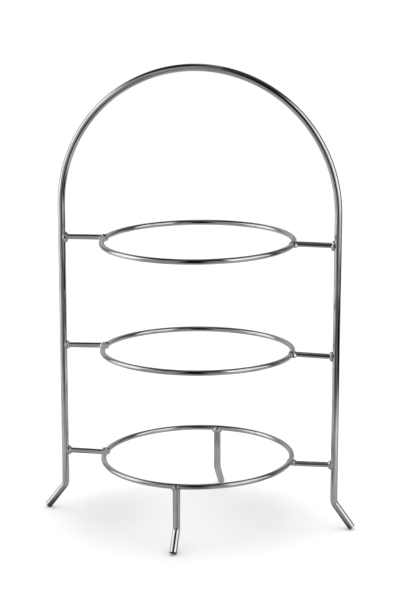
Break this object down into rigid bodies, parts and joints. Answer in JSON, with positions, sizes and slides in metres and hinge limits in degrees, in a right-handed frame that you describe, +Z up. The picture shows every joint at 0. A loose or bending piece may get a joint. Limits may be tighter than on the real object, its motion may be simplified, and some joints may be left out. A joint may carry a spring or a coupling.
{
  "type": "three-tier cake stand",
  "caption": "Tall wire cake stand: an arched hoop whose ends are feet carries tiers of plate rings on short welded arms, with front and rear legs under the lowest ring.",
  "frame": {"origin": "on the table, midway between the uprights and between the tops of the two legs", "axes": "+Z up, +X towards the right upright, -Y towards the front leg"},
  "size_m": [0.3327, 0.238, 0.4771],
  "materials": {
    "frame_chrome": "bright chrome plate on drawn steel wire",
    "ring_chrome": "bright chrome plate on thinner steel wire",
    "arm_chrome": "bright chrome plate on thinner steel wire",
    "weld_chrome": "bright chrome plate over a weld bead, slightly rippled"
  },
  "bodies": {
    "root": {"hoop_frame": "frame_chrome", "bottom_plate_ring": "ring_chrome", "bottom_left_arm": "arm_chrome", "bottom_left_ring_weld": "weld_chrome", "bottom_left_upright_weld": "weld_chrome", "bottom_right_arm": "arm_chrome", "bottom_right_ring_weld": "weld_chrome", "bottom_right_upright_weld": "weld_chrome", "middle_plate_ring": "ring_chrome", "middle_left_arm": "arm_chrome", "middle_left_ring_weld": "weld_chrome", "middle_left_upright_weld": "weld_chrome", "middle_right_arm": "arm_chrome", "middle_right_ring_weld": "weld_chrome", "middle_right_upright_weld": "weld_chrome", "top_plate_ring": "ring_chrome", "top_left_arm": "arm_chrome", "top_left_ring_weld": "weld_chrome", "top_left_upright_weld": "weld_chrome", "top_right_arm": "arm_chrome", "top_right_ring_weld": "weld_chrome", "top_right_upright_weld": "weld_chrome", "front_leg": "frame_chrome", "front_leg_weld": "weld_chrome", "rear_leg": "frame_chrome", "rear_leg_weld": "weld_chrome"}
  },
  "joints": []
}
